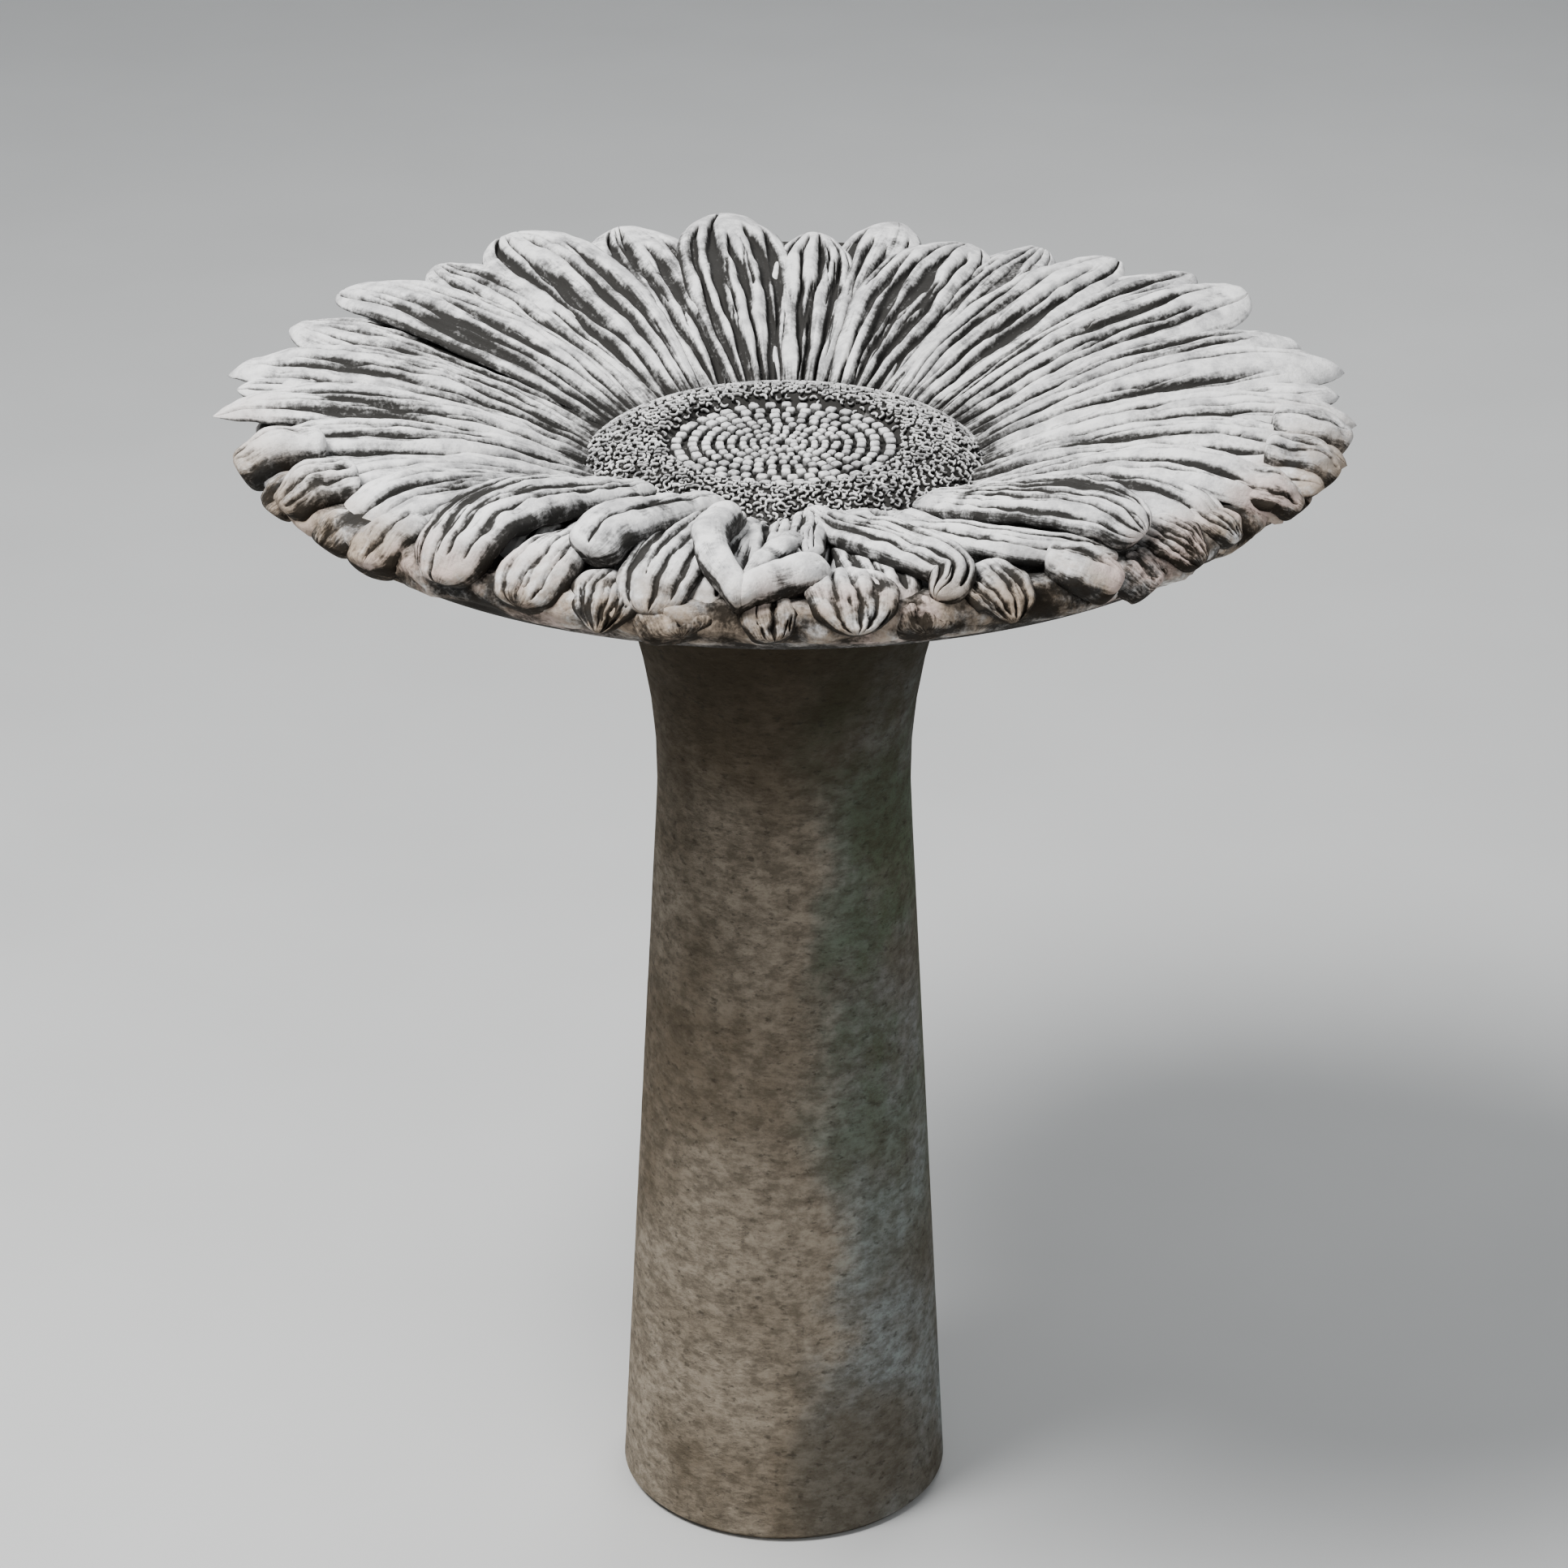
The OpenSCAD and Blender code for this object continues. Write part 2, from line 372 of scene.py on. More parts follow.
# %% [markdown]
# ## The front rim
# At the front the petals fold back over the rim in thick curls, and small veined shells and knobs
# fill the wall under them. These shapes wander too much for the petal recipe, so each one is a
# sphere drawn along a path. A row of a path is a bearing, a radius, a height above the ground and
# a half width, and the path's last rows reach down over the rim. The folds are two bent petals
# that meet in a V at the very front, and the lumps are the rough stone between the other pieces.


# %% Front rim
EASED_STEPS = 241  # places at which a path's rows are read before they are smoothed
EASED_REACH = 25  # places each way over which they are smoothed
CURL_GROOVE = 0.0022


def eased(values, places):
    """Reads values at the places (0 to 1) along a list, with its corners rounded."""
    even = np.linspace(0, 1, EASED_STEPS)
    fine = np.interp(even, np.linspace(0, 1, len(values)), values)
    ends = np.concatenate([np.full(EASED_REACH, fine[0]), fine, np.full(EASED_REACH, fine[-1])])
    window = np.hanning(2 * EASED_REACH + 1)
    soft = np.convolve(ends, window / window.sum(), mode="valid")
    soft += (fine[0] - soft[0]) * even[::-1] + (fine[-1] - soft[-1]) * even
    return np.interp(places, even, soft)


def limb(name, ridges, thick, path, seed):
    """A curl, shell or knob of stone drawn along a path round the rim."""
    piece = closed_ball(name, 80, 60)
    along, around = ball_angles(piece)
    v = crowded(along, crowding=0.4)
    bearing, radius, height, half = np.array(path).T
    a = np.radians(bearing)
    corners = (radius * np.sin(a), -radius * np.cos(a), height)
    centre = np.stack([eased(c, v) for c in corners], axis=1)
    ahead = np.stack([eased(c, np.clip(v + 0.02, 0, 1)) for c in corners], axis=1)
    behind = np.stack([eased(c, np.clip(v - 0.02, 0, 1)) for c in corners], axis=1)
    forward = ahead - behind
    forward /= np.linalg.norm(forward, axis=1)[:, None]
    # The ridged side faces up and outwards.
    facing = centre * np.array([1.0, 1.0, 0.0])
    facing = 0.5 * facing / np.linalg.norm(facing, axis=1)[:, None] + np.array([0, 0, 0.85])
    across = np.cross(facing, forward)
    across /= np.linalg.norm(across, axis=1)[:, None]
    normal = np.cross(forward, across)

    # Both ends are rounded off over the last 14% of the path.
    cap = np.sqrt(np.clip(1 - (np.clip(np.abs(2 * v - 1) - 0.72, 0, 1) / 0.28) ** 2, 0, 1))
    wide = eased(half, v) * cap
    u, on_top = over_and_under(around, top_share=0.65, crowding=0.4)
    body = thick / 2 * np.sqrt(np.clip(1 - np.abs(u) ** 2.6, 0, 1)) * np.sqrt(cap)
    core, valley = grooves(u, v, ridges, seed)
    carved = CURL_GROOVE * (0.75 * core + 0.5 * valley) * np.clip(body / (0.3 * thick), 0, 1)
    points = centre + across * (u * wide)[:, None]
    points += normal * np.where(on_top, body - carved, -body)[:, None]
    worn = ripple(points, 0.022, seed + 50)
    points += normal * (0.0011 * worn + 0.0004 * ripple(points, 0.008, seed + 90))[:, None]
    # Lumps stay dull, and shells and knobs hold less dark patina than curls. All are darker along
    # their edges and low down, as painted shade between the pieces and on their lower parts.
    edge_shade = smooth(0.78, 0.97, np.abs(u))
    if name.startswith("lump"):
        pale = 0.72 - 0.4 * valley + 0.3 * worn - 0.15 * edge_shade
    elif name.startswith(("shell", "knob")):
        pale = 0.92 - 0.40 * core - 0.34 * valley + 0.24 * worn - 0.65 * edge_shade
    else:
        pale = 0.97 - 0.85 * core - 0.46 * valley + 0.27 * worn - 0.75 * edge_shade
    # Painted shade on the lower parts of every piece.
    pale -= 0.50 * smooth(SEAT + 0.092, SEAT + 0.066, points[:, 2])
    pale -= 0.32 * smooth(0.1, 1.0, ripple(points, 0.016, seed + 130))
    reshape(piece, points, np.where(on_top, pale, 0.15))
    return piece


#    name, ridges, thickness, path
RIM = [
    ("fold_left", 1, 0.017, [
        (-9, 0.165, 0.66, 0.006), (-9, 0.193, 0.672, 0.01), (-9.5, 0.226, 0.678, 0.01),
        (-7.5, 0.258, 0.677, 0.009), (-4.7, 0.278, 0.671, 0.008), (-4.5, 0.285, 0.663, 0.004)]),
    ("fold_right", 1, 0.017, [
        (4.2, 0.248, 0.666, 0.007), (2.4, 0.257, 0.671, 0.011), (-0.9, 0.266, 0.671, 0.0105),
        (-3.8, 0.277, 0.669, 0.009), (-4.5, 0.284, 0.663, 0.004)]),
    ("fold_middle", 1, 0.011, [
        (3.5, 0.195, 0.662, 0.005), (0.5, 0.226, 0.674, 0.007), (-2.5, 0.254, 0.675, 0.006),
        (-4.2, 0.272, 0.669, 0.004)]),
    ("curl_1", 5, 0.013, [
        (-10, 0.15, 0.656, 0.011), (-11, 0.2, 0.671, 0.016), (-12.5, 0.243, 0.675, 0.02),
        (-13.5, 0.268, 0.668, 0.02), (-13.5, 0.281, 0.655, 0.016)]),
    ("curl_2", 2, 0.021, [
        (-13, 0.148, 0.657, 0.009), (-15.5, 0.19, 0.671, 0.011), (-18.5, 0.226, 0.681, 0.014),
        (-20.6, 0.246, 0.682, 0.016), (-21.4, 0.261, 0.673, 0.015)]),
    ("curl_3", 5, 0.019, [
        (-32, 0.13, 0.652, 0.012), (-33, 0.18, 0.668, 0.018), (-35, 0.225, 0.68, 0.023),
        (-36, 0.256, 0.68, 0.024), (-36, 0.276, 0.67, 0.023), (-36, 0.285, 0.653, 0.018)]),
    ("curl_4", 4, 0.016, [
        (5, 0.15, 0.655, 0.009), (8, 0.195, 0.667, 0.012), (12, 0.231, 0.676, 0.0145),
        (15.5, 0.253, 0.676, 0.0145), (18.2, 0.266, 0.672, 0.013), (17.2, 0.273, 0.666, 0.011),
        (15.3, 0.277, 0.66, 0.007)]),
    ("curl_5", 3, 0.012, [
        (17, 0.19, 0.662, 0.008), (22, 0.23, 0.672, 0.011), (26.5, 0.256, 0.673, 0.011),
        (32, 0.267, 0.669, 0.01), (37, 0.271, 0.661, 0.006)]),
    ("curl_6", 6, 0.016, [
        (27, 0.15, 0.655, 0.012), (31, 0.195, 0.671, 0.017), (35, 0.235, 0.682, 0.021),
        (38.5, 0.26, 0.681, 0.021), (40, 0.274, 0.669, 0.016)]),
    ("curl_7", 3, 0.013, [
        (4.5, 0.15, 0.654, 0.008), (4, 0.185, 0.664, 0.01), (2.8, 0.215, 0.67, 0.01),
        (2.8, 0.234, 0.667, 0.009)]),
    ("curl_8", 4, 0.013, [
        (11, 0.16, 0.65, 0.014), (11, 0.21, 0.661, 0.018), (11, 0.254, 0.664, 0.019),
        (11, 0.272, 0.656, 0.016)]),
    ("curl_9", 3, 0.013, [
        (-7, 0.16, 0.65, 0.012), (-8, 0.21, 0.662, 0.014), (-8.5, 0.252, 0.664, 0.015),
        (-8.5, 0.273, 0.655, 0.014)]),
    ("shell_1", 5, 0.011, [
        (21.5, 0.254, 0.664, 0.016), (22, 0.272, 0.663, 0.02), (22.5, 0.284, 0.657, 0.016),
        (22.5, 0.288, 0.648, 0.004)]),
    ("shell_2", 4, 0.013, [
        (7, 0.248, 0.663, 0.018), (7, 0.269, 0.665, 0.024), (7, 0.283, 0.659, 0.021),
        (7, 0.288, 0.65, 0.008)]),
    ("shell_3", 2, 0.012, [
        (-1.5, 0.266, 0.66, 0.01), (-1.5, 0.281, 0.657, 0.015), (-1, 0.287, 0.647, 0.009)]),
    ("shell_4", 6, 0.011, [
        (-18, 0.252, 0.661, 0.017), (-18, 0.272, 0.662, 0.022), (-18, 0.284, 0.655, 0.016),
        (-18, 0.288, 0.646, 0.004)]),
    ("shell_5", 6, 0.012, [
        (44, 0.258, 0.665, 0.015), (45, 0.278, 0.663, 0.019), (45.5, 0.289, 0.651, 0.008)]),
    ("shell_6", 4, 0.012, [
        (52, 0.26, 0.662, 0.012), (52, 0.279, 0.66, 0.014), (52, 0.286, 0.652, 0.006)]),
    ("shell_7", 3, 0.014, [
        (60, 0.262, 0.665, 0.012), (62, 0.282, 0.664, 0.017), (63, 0.293, 0.653, 0.01)]),
    ("lump_1", 2, 0.014, [
        (-66, 0.262, 0.656, 0.014), (-66, 0.279, 0.655, 0.02), (-66, 0.287, 0.645, 0.014)]),
    ("lump_2", 2, 0.014, [
        (-54, 0.256, 0.654, 0.014), (-54, 0.275, 0.655, 0.02), (-54, 0.284, 0.645, 0.014)]),
    ("lump_3", 2, 0.014, [
        (-12, 0.255, 0.652, 0.016), (-11, 0.273, 0.655, 0.024), (-10, 0.283, 0.645, 0.018)]),
    ("lump_4", 2, 0.014, [
        (14, 0.255, 0.652, 0.014), (14, 0.273, 0.654, 0.02), (14, 0.283, 0.645, 0.014)]),
    ("lump_5", 2, 0.014, [
        (38, 0.258, 0.654, 0.016), (39, 0.275, 0.655, 0.022), (40, 0.284, 0.645, 0.016)]),
    ("lump_6", 2, 0.014, [
        (66, 0.264, 0.656, 0.014), (66, 0.281, 0.656, 0.02), (66, 0.289, 0.646, 0.014)]),
    ("knob_1", 2, 0.024, [
        (-71.5, 0.25, 0.664, 0.012), (-72, 0.276, 0.666, 0.017), (-72.5, 0.294, 0.655, 0.014)]),
    ("knob_2", 4, 0.02, [
        (-60, 0.25, 0.666, 0.015), (-61, 0.273, 0.667, 0.02), (-61, 0.288, 0.653, 0.015)]),
    ("knob_3", 2, 0.02, [
        (-47.5, 0.25, 0.66, 0.014), (-46.5, 0.274, 0.658, 0.019), (-46, 0.287, 0.647, 0.015)]),
    ("knob_4", 4, 0.019, [
        (-25, 0.23, 0.666, 0.01), (-26, 0.254, 0.669, 0.017), (-26.5, 0.275, 0.663, 0.021),
        (-26.5, 0.286, 0.651, 0.015)]),
    ("knob_5", 2, 0.02, [
        (29, 0.264, 0.666, 0.009), (31.5, 0.276, 0.665, 0.015), (34.5, 0.287, 0.653, 0.011)]),
    ("knob_6", 3, 0.018, [
        (71, 0.262, 0.666, 0.013), (72, 0.286, 0.664, 0.017), (72.5, 0.297, 0.653, 0.012)]),
    ("knob_7", 2, 0.02, [
        (78, 0.26, 0.669, 0.013), (79, 0.284, 0.667, 0.017), (79.5, 0.298, 0.657, 0.012)]),
]
rim_pieces = []
for index, (name, ridges, thick, path) in enumerate(RIM):
    rim_pieces.append(limb(name, ridges, thick, path, seed=index + 301))
print(len(rim_pieces), "folds, curls, shells, lumps and knobs")

# %% [markdown]
# ## The saucer behind the petals
# The petals stand on a saucer with a locating boss underneath. A sphere's rings are laid along
# its profile, from the bottom of the boss round the rim to the middle of the floor. The rim's
# outside wall was left rough by the mould, so it is pushed in and out by soft random swells. At the
# back the rim is drawn in and lowered, so that it doesn't show between the petals' tips.

# %% Saucer
#    radius, height above the seat
PROFILE = [
    (0.000, -0.0245), (0.039, -0.0245), (0.0422, -0.021), (0.0425, 0.000), (0.100, 0.000),
    (0.130, 0.009), (0.180, 0.025), (0.230, 0.0415), (0.262, 0.0545), (0.2720, 0.0615),
    (0.2780, 0.0650), (RIM_R, 0.0700), (RIM_R, 0.0765), (0.2780, 0.0820), (0.270, 0.0840),
    (0.250, 0.0815), (0.200, 0.0750), (0.150, 0.0630), (0.125, 0.0500), (0.107, 0.0440),
    (0.060, 0.042), (0.000, 0.042),
]
saucer = closed_ball("saucer", 300, 200)
along, around = ball_angles(saucer)
corner = np.array(PROFILE)
walked = np.concatenate([[0], np.cumsum(np.linalg.norm(np.diff(corner, axis=0), axis=1))])
place = along * walked[-1]
radius = np.interp(place, walked, corner[:, 0])
height = SEAT + np.interp(place, walked, corner[:, 1])
points = np.stack([radius * np.cos(around), radius * np.sin(around), height], axis=1)
rim = smooth(0.262, 0.275, radius) * smooth(SEAT + 0.054, SEAT + 0.060, height)
swell = 0.0034 * ripple(points, 0.040, 7) + 0.0022 * ripple(points, 0.015, 8)
at_back = smooth(-0.08, 0.10, points[:, 1])
points[:, :2] *= (1 + rim * (swell / np.maximum(radius, 0.01) - 0.045 * at_back))[:, None]
points[:, 2] -= 0.006 * rim * at_back
wash_and_shade = 0.08 + rim * (0.26 + 95 * swell + 0.20 * ripple(points, 0.010, 9))
reshape(saucer, points, wash_and_shade)
print("saucer", len(saucer.data.polygons), "faces")

# %% [markdown]
# ## The flower's centre
# A raised cushion of tiny curled florets surrounds a disc of seeds laid in rings like bricks.
# One seed and one floret are modelled with very few faces, because hundreds of each are needed.
# Copies are then turned, sized and placed by one array calculation and joined into one mesh.


# %% Copies of a small shape
def template(maker):
    """Runs an operator that makes one small shape and returns its points and faces."""
    maker()
    shape = bpy.context.object
    points = coords(shape)
    faces = [list(f.vertices) for f in shape.data.polygons]
    bpy.data.objects.remove(shape)
    return points, faces


def scatter(name, points, faces, places, frames, sizes, shades):
    """Joins many copies of a small shape into one mesh, each with a place, three axes and a size."""
    count = len(places)
    scaled = points[None, :, :] * sizes[:, None, :]
    turned = np.einsum("cpi,cij->cpj", scaled, frames) + places[:, None, :]
    height = points[:, 2] / np.abs(points[:, 2]).max()
    wash_and_shade = shades[:, None] * smooth(0.0, 1.1, height)[None, :]
    offset = len(points)
    joined = [[v + c * offset for v in face] for c in range(count) for face in faces]
    mesh = bpy.data.meshes.new(name)
    mesh.from_pydata(turned.reshape(-1, 3).tolist(), [], joined)
    for layer_name, values in (("wash_and_shade", wash_and_shade.ravel()), ("stain", 0 * wash_and_shade.ravel())):
        layer = mesh.attributes.new(layer_name, "FLOAT", "POINT")
        layer.data.foreach_set("value", values.astype(np.float32))
    mesh.shade_smooth()
    piece = bpy.data.objects.new(name, mesh)
    bpy.context.scene.collection.objects.link(piece)
    return piece


CREST_R = 0.070
CUSHION_HEIGHT = 0.018
SEED_BED_HEIGHT = 0.0125
FALL_WIDTH = 0.0385


def cushion_height(r):
    """Height of the cushion's surface above the floor at radius r: level, a lip, then a round fall."""
    lip = smooth(SEED_R - 0.001, SEED_R + 0.005, r)
    inside = SEED_BED_HEIGHT + (CUSHION_HEIGHT - SEED_BED_HEIGHT) * lip
    fall = np.sqrt(np.clip(1 - ((r - CREST_R) / FALL_WIDTH) ** 2, 0, 1))
    return np.where(r < CREST_R, inside, CUSHION_HEIGHT * fall)


# %% [markdown]
# The cushion and the seed disc's bed are one turned shape, dark all over. What shows pale are the
# florets and seeds on top of it.

# %% Cushion
bed = closed_ball("flower_bed", 128, 64)
along, around = ball_angles(bed)
upper = along > 0.5
radius = np.where(upper, (1 - (along - 0.5) * 2) * (CUSHION_R + 0.0015), along * 2 * CUSHION_R)
height = np.where(upper, FLOOR - 0.003 + cushion_height(radius), FLOOR - 0.006)
points = np.stack([radius * np.cos(around), radius * np.sin(around), height], axis=1)
points[:, 2] += 0.0005 * ripple(points, 0.02, 3) * upper
reshape(bed, points, np.full(len(points), 0.02))
print("flower bed", len(bed.data.polygons), "faces")

# %% [markdown]
# A seed is a cube with its edges bevelled, which gives a rounded pebble with few faces. Each ring
# of seeds starts at a random bearing, so that the joints don't line up, and the seeds get smaller
# towards the centre.

# %% Seeds
def one_seed():
    """A cube with its edges rounded off."""
    bpy.ops.object.select_all(action="DESELECT")
    bpy.ops.mesh.primitive_cube_add(size=1)
    bpy.ops.object.mode_set(mode="EDIT")
    bpy.ops.mesh.select_all(action="SELECT")
    bpy.ops.mesh.bevel(offset=0.24, offset_pct=0, segments=2, affect="EDGES")
    bpy.ops.object.mode_set(mode="OBJECT")


seed_points, seed_faces = template(one_seed)
rng = np.random.default_rng(11)
places, frames, sizes, shades = [], [], [], []
ring_r = SEED_R - 0.0052
pitch = 0.0083
while ring_r > 0.003:
    count = max(3, round(2 * math.pi * ring_r / (pitch * 1.04)))
    start = rng.uniform(0, 2 * math.pi)
    for k in range(count):
        a = start + 2 * math.pi * (k + rng.uniform(-0.12, 0.12)) / count
        r = ring_r + rng.uniform(-0.0005, 0.0005)
        outward = np.array([math.cos(a), math.sin(a), 0])
        sideways = np.array([-math.sin(a), math.cos(a), 0])
        places.append([r * outward[0], r * outward[1], FLOOR + 0.0105 + rng.uniform(-0.0004, 0.0006)])
        frames.append([outward, sideways, [0, 0, 1]])
        sizes.append([pitch * 0.68, pitch * 0.78 * rng.uniform(0.82, 1.02), 0.0062])
        shades.append(rng.uniform(0.80, 1.0))
    ring_r -= pitch * 0.98
    pitch = max(0.0052, pitch * 0.93)
seeds = scatter("seeds", seed_points, seed_faces, np.array(places), np.array(frames),
                np.array(sizes), np.array(shades))
print(len(places), "seeds,", len(seed_faces), "faces each")

# %% [markdown]
# A floret is a short curled worm of stone, so one is a good third of a ring with few sides. They
# are strewn evenly with a golden-angle spiral, then nudged a little so that the spiral doesn't
# show, and each is turned and sized at random.

# %% Florets
def one_floret():
    """A ring with most of it cut away and the cut closed."""
    bpy.ops.object.select_all(action="DESELECT")
    bpy.ops.mesh.primitive_torus_add(major_segments=14, minor_segments=5, minor_radius=0.34,
                                     major_radius=1)
    bpy.ops.object.mode_set(mode="EDIT")
    bpy.ops.mesh.select_all(action="SELECT")
    bpy.ops.mesh.bisect(plane_co=(0, 0.35, 0), plane_no=(0, 1, 0), use_fill=True, clear_inner=True)
    bpy.ops.object.mode_set(mode="OBJECT")


floret_points, floret_faces = template(one_floret)
rng = np.random.default_rng(23)
count = 1350
share = (np.arange(count) + 0.5) / count
inner, outer = SEED_R + 0.001, CUSHION_R
r = np.sqrt(inner ** 2 + share * (outer ** 2 - inner ** 2)) + rng.uniform(-0.0010, 0.0010, count)
bearing = np.arange(count) * math.pi * (3 - math.sqrt(5)) + rng.uniform(-0.012, 0.012, count)
gap = 0.0005
slope = np.arctan((cushion_height(r + gap) - cushion_height(r - gap)) / (2 * gap))
slope = np.clip(slope, -1.2, 0.5)
outward = np.stack([np.cos(bearing), np.sin(bearing), np.zeros(count)], axis=1)
sideways = np.stack([-np.sin(bearing), np.cos(bearing), np.zeros(count)], axis=1)
upward = np.array([0, 0, 1.0])
normal = -np.sin(slope)[:, None] * outward + np.cos(slope)[:, None] * upward
downhill = np.cos(slope)[:, None] * outward + np.sin(slope)[:, None] * upward
spin = rng.uniform(0, 2 * math.pi, count)
first = np.cos(spin)[:, None] * downhill + np.sin(spin)[:, None] * sideways
second = np.cross(normal, first)
frames = np.stack([first, second, normal], axis=1)
places = outward * r[:, None] + upward * (FLOOR - 0.003 + cushion_height(r))[:, None] + normal * 0.0008
places -= second * 0.0015
stretch = rng.uniform(0.75, 1.25, (count, 2))
sizes = np.stack([0.0019 * stretch[:, 0], 0.0024 * stretch[:, 1], np.full(count, 0.0046)], axis=1)
shades = rng.uniform(0.7, 1.0, count)
florets = scatter("florets", floret_points, floret_faces, places, frames, sizes, shades)
print(count, "florets,", len(floret_faces), "faces each")

# %% [markdown]
# ## Shader helper
# Materials are written as sums and products. This small class wraps a node's output so that
# ordinary operators build the Math nodes, and one method makes any other node. In a Mix node of
# colours, input 0 is the share, inputs 6 and 7 are the two colours and output 2 is the result.


# %% Shader helper
class Wire:
    """A shader value that ordinary arithmetic can be done with."""

    def __init__(self, finish, socket):
        self.finish = finish
        self.socket = socket

    def math(self, operation, other):
        return self.finish.node("ShaderNodeMath", {"operation": operation}, {0: self, 1: other})

    def __add__(self, other):
        return self.math("ADD", other)

    __radd__ = __add__

    def __sub__(self, other):
        return self.math("SUBTRACT", other)

    def __mul__(self, other):
        return self.math("MULTIPLY", other)

    def between(self, low, high):
        """0 below low, 1 above high, and an even S-curve between."""
        values = {"Value": self, "From Min": low, "From Max": high}
        return self.finish.node("ShaderNodeMapRange", {"interpolation_type": "SMOOTHSTEP"}, values)


class Finish:
    """One procedural material."""

    def __init__(self, name):
        self.material = bpy.data.materials.new(name)
        self.material.use_nodes = True
        self.tree = self.material.node_tree
        self.surface = self.tree.nodes["Principled BSDF"]

    def node(self, kind, settings=None, values=None, output=0):
        """Makes one node, with its settings and with numbers or wires on its inputs."""
        made = self.tree.nodes.new(kind)
        for key, value in (settings or {}).items():
            setattr(made, key, value)
        for key, value in (values or {}).items():
            self.feed(made.inputs[key], value)
        return Wire(self, made.outputs[output])

    def feed(self, socket, value):
        if isinstance(value, Wire):
            self.tree.links.new(value.socket, socket)
        else:
            socket.default_value = value

    def noise(self, place, scale, detail, roughness):
        values = {"Vector": place, "Scale": scale, "Detail": detail, "Roughness": roughness}
        return self.node("ShaderNodeTexNoise", None, values, "Fac")

    def mix(self, share, first, second):
        """A colour that goes from first to second as share goes from 0 to 1."""
        values = {0: share, 6: first, 7: second}
        return self.node("ShaderNodeMix", {"data_type": "RGBA"}, values, 2)

    def bump(self, height, strength, distance, normal=None):
        values = {"Height": height, "Strength": strength, "Distance": distance}
        if normal is not None:
            values["Normal"] = normal
        return self.node("ShaderNodeBump", None, values)

    def set(self, **values):
        """Feeds the surface's inputs, whose names are given with _ for each space."""
        for key, value in values.items():
            self.feed(self.surface.inputs[key.replace("_", " ")], value)


def dress(piece, material):
    """Gives a piece one material and no other."""
    piece.data.materials.clear()
    piece.data.materials.append(material)


# %% [markdown]
# ## The bowl's stone
# The wash attribute decides between charcoal patina and pale wash. Where a piece lowered that
# attribute as painted shade, the charcoal is painted shade too. Noise is added before the
# decision, so the border between them is ragged and some high places are rubbed dark. One of the
# noises is stretched along each piece's own length, as a brush leaves the wash. Rain has left
# brown and faintly pink stains on the outside of the rim, kept in a second attribute.


# %% Bowl stone
def washed_stone(name):
    pale = (0.86, 0.85, 0.835, 1)
    rubbed = (0.516, 0.51, 0.50935, 1)
    charcoal = (0.045, 0.043, 0.040, 1)
    dark_brown = (0.030, 0.022, 0.014, 1)
    light_brown = (0.34, 0.26, 0.185, 1)
    pink = (0.70, 0.56, 0.53, 1)
    f = Finish(name)
    place = f.node("ShaderNodeTexCoord", output="Object")
    wash_and_shade = f.node("ShaderNodeAttribute", {"attribute_name": "wash_and_shade"}, output="Fac")
    stain = f.node("ShaderNodeAttribute", {"attribute_name": "stain"}, output="Fac")
    cloud = f.noise(place, 16.0, 4.0, 0.6)
    mottle = f.noise(place, 75.0, 6.0, 0.70)
    grain = f.noise(place, 430.0, 4.0, 0.65)
    around_and_along = f.node("ShaderNodeTexCoord", output="UV")
    stretch = {"Vector": around_and_along, "Scale": (46.0, 3.2, 1.0)}
    brushed = f.noise(f.node("ShaderNodeMapping", None, stretch), 1.0, 5.0, 0.6)
    ragged = (mottle.between(0.3, 0.7) - 0.5) * 0.30 + (grain.between(0.3, 0.7) - 0.5) * 0.24
    ragged = ragged + (brushed.between(0.3, 0.7) - 0.5) * 0.34
    # Where the attribute holds painted shade, the charcoal chosen here is painted shade too.
    pale_share = (wash_and_shade + ragged).between(0.10, 0.90)
    worn = mottle * 0.6 + cloud * 0.4
    stone = f.mix(pale_share, charcoal, f.mix(worn.between(0.38, 0.58), rubbed, pale))
    streak = f.noise(place, 32.0, 5.0, 0.7)
    browned = stain * streak.between(0.30, 0.54) * 0.88
    stone = f.mix(browned, stone, f.mix(pale_share, dark_brown, light_brown))
    pinked = stain * cloud.between(0.50, 0.62) * pale_share * 0.75
    stone = f.mix(pinked, stone, pink)
    coarse = f.bump(mottle, 0.7, 0.0022)
    fine = f.bump(grain, 0.55, 0.0006, coarse)
    f.set(Base_Color=stone, Roughness=0.80 + grain * 0.15, Normal=fine, Specular_IOR_Level=0.3)
    return f.material


bowl_stone = washed_stone("bowl_stone")
flower = petals + small_petals + rim_pieces + [saucer, bed, seeds, florets]
for piece in flower:
    dress(piece, bowl_stone)
    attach(piece, "bowl")
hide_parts("bowl")
print(len(flower), "pieces of bowl stone")

# %% [markdown]
# ## The pedestal's stone
# The pedestal never got the pale wash. It is brown-grey with short level marks and small dark
# pits. The side towards +X is blue-grey, with moss-green patches higher up. Towards the top the
# colour darkens as a painted shadow of the bowl, with some stain from the drips that fall from it.


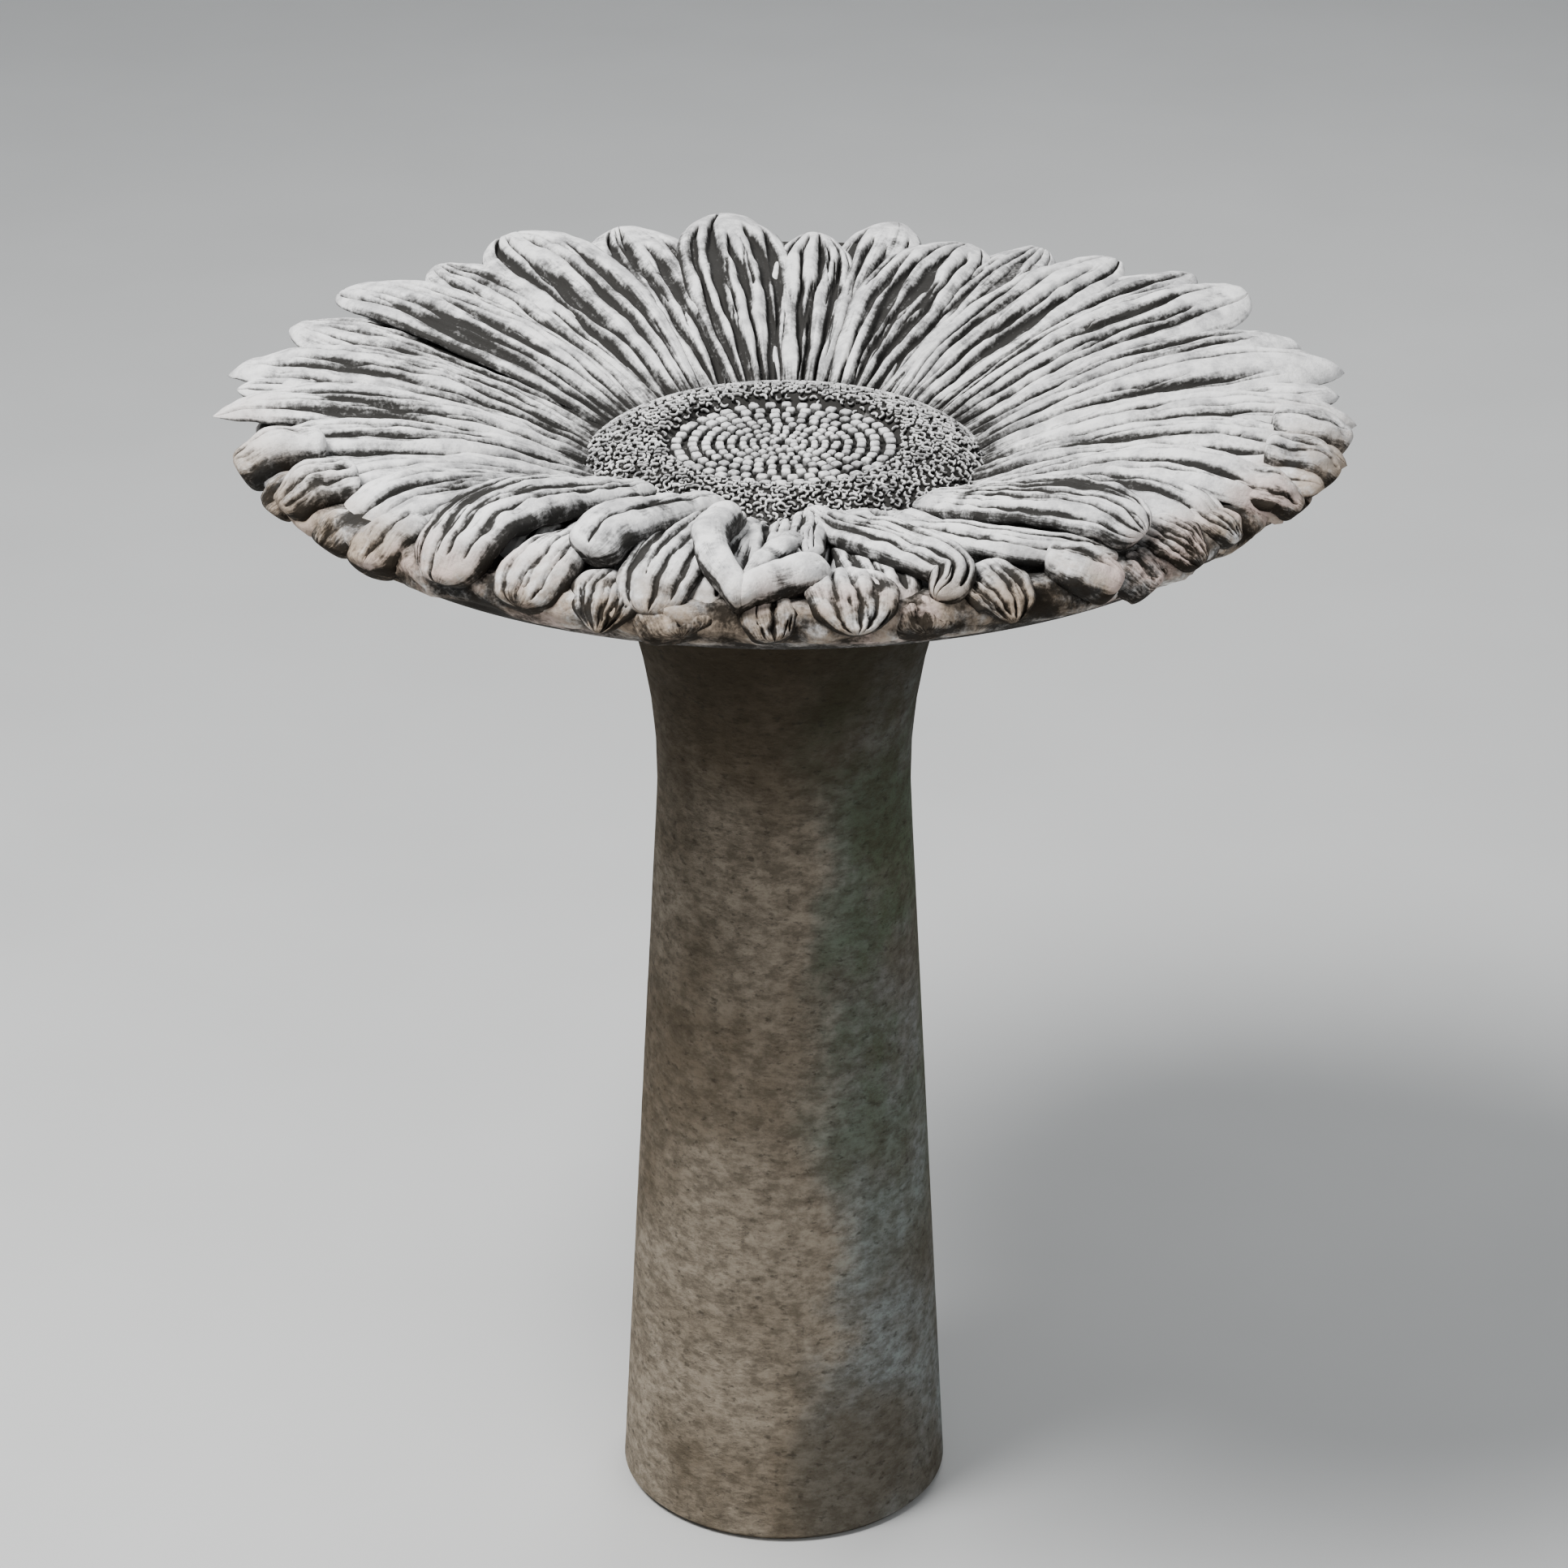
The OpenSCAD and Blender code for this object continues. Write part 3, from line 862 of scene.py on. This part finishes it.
# %% Pedestal stone
def pedestal_stone(name):
    f = Finish(name)
    place = f.node("ShaderNodeTexCoord", output="Object")
    height = f.node("ShaderNodeSeparateXYZ", None, {0: place}, "Z")
    side = f.node("ShaderNodeSeparateXYZ", None, {0: place}, "X")
    flat = f.node("ShaderNodeMapping", None, {"Vector": place, "Scale": (1.0, 1.0, 1.7)})
    cloud = f.noise(place, 7.0, 5.0, 0.62)
    patch = f.noise(place, 13.0, 6.0, 0.66)
    level = f.noise(flat, 95.0, 7.0, 0.74)
    pits = f.noise(flat, 170.0, 4.0, 0.62)
    grain = f.noise(place, 520.0, 4.0, 0.65)
    brown = (0.165, 0.128, 0.084, 1)
    warm = (0.430, 0.370, 0.295, 1)
    cool = (0.375, 0.430, 0.440, 1)
    moss = (0.140, 0.185, 0.112, 1)
    mark = (0.085, 0.070, 0.048, 1)
    shade = (0.055, 0.042, 0.026, 1)
    pit = (0.040, 0.034, 0.026, 1)
    ragged = (cloud - 0.5) * 0.14 + (patch - 0.5) * 0.07
    to_right = (side + ragged).between(0.000, 0.048)
    stone = f.mix(to_right * 0.80, warm, cool)
    stone = f.mix(cloud.between(0.40, 0.62) * 0.75, stone, brown)
    high = height.between(0.10, 0.34)
    stone = f.mix(to_right * high * patch.between(0.38, 0.60) * 0.75, stone, moss)
    stone = f.mix(level.between(0.66, 0.34) * 0.62, stone, mark)
    # Painted shadow of the bowl near the top, with some drip stain.
    shadow_and_drips = (height + (patch - 0.5) * 0.12).between(0.40, 0.560)
    stone = f.mix(shadow_and_drips * 0.90, stone, shade)
    stone = f.mix(pits.between(0.56, 0.70) * 0.50, stone, pit)
    coarse = f.bump(level, 0.9, 0.0042)
    fine = f.bump(grain, 0.5, 0.0004, coarse)
    f.set(Base_Color=stone, Roughness=0.82 + grain * 0.15, Normal=fine, Specular_IOR_Level=0.25)
    return f.material


# %% [markdown]
# The pads are matte black rubber with a little grey dust in places. The pedestal and the pads are
# simple turned shapes, so they stay as the CAD model made them and only get their materials here.


# %% Rubber and dressing
def rubber(name):
    black = (0.018, 0.018, 0.018, 1)
    dust = (0.06, 0.055, 0.05, 1)
    f = Finish(name)
    place = f.node("ShaderNodeTexCoord", output="Object")
    grain = f.noise(place, 600.0, 3.0, 0.6)
    dusty = f.noise(place, 90.0, 4.0, 0.6)
    colour = f.mix(dusty.between(0.4, 0.7), black, dust)
    f.set(Base_Color=colour, Roughness=0.6 + grain * 0.25, Normal=f.bump(grain, 0.4, 0.0003))
    return f.material


dress(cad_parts["pedestal"], pedestal_stone("pedestal_stone"))
pad_rubber = rubber("pad_rubber")
for name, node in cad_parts.items():
    if name.startswith("seat_pad"):
        dress(node, pad_rubber)

# %% [markdown]
# ## Floor, light and camera
# A plain pale floor, and three round soft lamps with a pale sky: a strong one high on the left, a
# weak one that lightens the right, and one behind that rims the petals. The medium-high contrast
# look keeps pale wash and dark grooves apart. The camera stands at a person's eye height, with a
# long lens, and looks down on the bath.

# %% Floor
bpy.ops.object.select_all(action="DESELECT")
bpy.ops.mesh.primitive_plane_add(size=12, location=(0, 2, 0))
floor = bpy.context.object
floor.name = "floor"
f = Finish("floor_paper")
place = f.node("ShaderNodeTexCoord", output="Object")
speckle = f.noise(place, 5.0, 3.0, 0.5)
f.set(Base_Color=f.mix(speckle, (0.60, 0.60, 0.59, 1), (0.66, 0.66, 0.65, 1)), Roughness=0.9)
dress(floor, f.material)


# %% Light
def lamp(name, place, target, size, power):
    """A round lamp at a place, aimed at a target, with its size in metres and power in watts."""
    data = bpy.data.lights.new(name, "AREA")
    data.shape = "DISK"
    data.size = size
    data.energy = power
    made = bpy.data.objects.new(name, data)
    made.location = place
    made.rotation_euler = (Vector(target) - Vector(place)).to_track_quat("-Z", "Y").to_euler()
    bpy.context.scene.collection.objects.link(made)


lamp("key", (-1.1, -0.7, 2.7), (0, 0, 0.5), 1.0, 82)
lamp("fill", (1.8, -1.8, 1.6), (0, 0, 0.4), 2.0, 12)
lamp("back", (0.6, 2.2, 2.4), (0, 0, 0.6), 1.6, 22)
world = bpy.data.worlds.new("sky")
world.use_nodes = True
sky = world.node_tree.nodes["Background"]
sky.inputs["Color"].default_value = (0.86, 0.90, 0.95, 1)
sky.inputs["Strength"].default_value = 0.32
bpy.context.scene.world = world
bpy.context.scene.view_settings.look = "AgX - Medium High Contrast"

# %% Camera
LOOK_DOWN = 25.3
camera_data = bpy.data.cameras.new("camera")
camera_data.sensor_width = 36
camera_data.lens = 111.8
camera = bpy.data.objects.new("camera", camera_data)
camera.location = (0, -2.430, 1.585)
camera.rotation_euler = (math.radians(90 - LOOK_DOWN), 0, 0)
bpy.context.scene.collection.objects.link(camera)
bpy.context.scene.camera = camera

# %% Finish
bpy.context.view_layer.update()
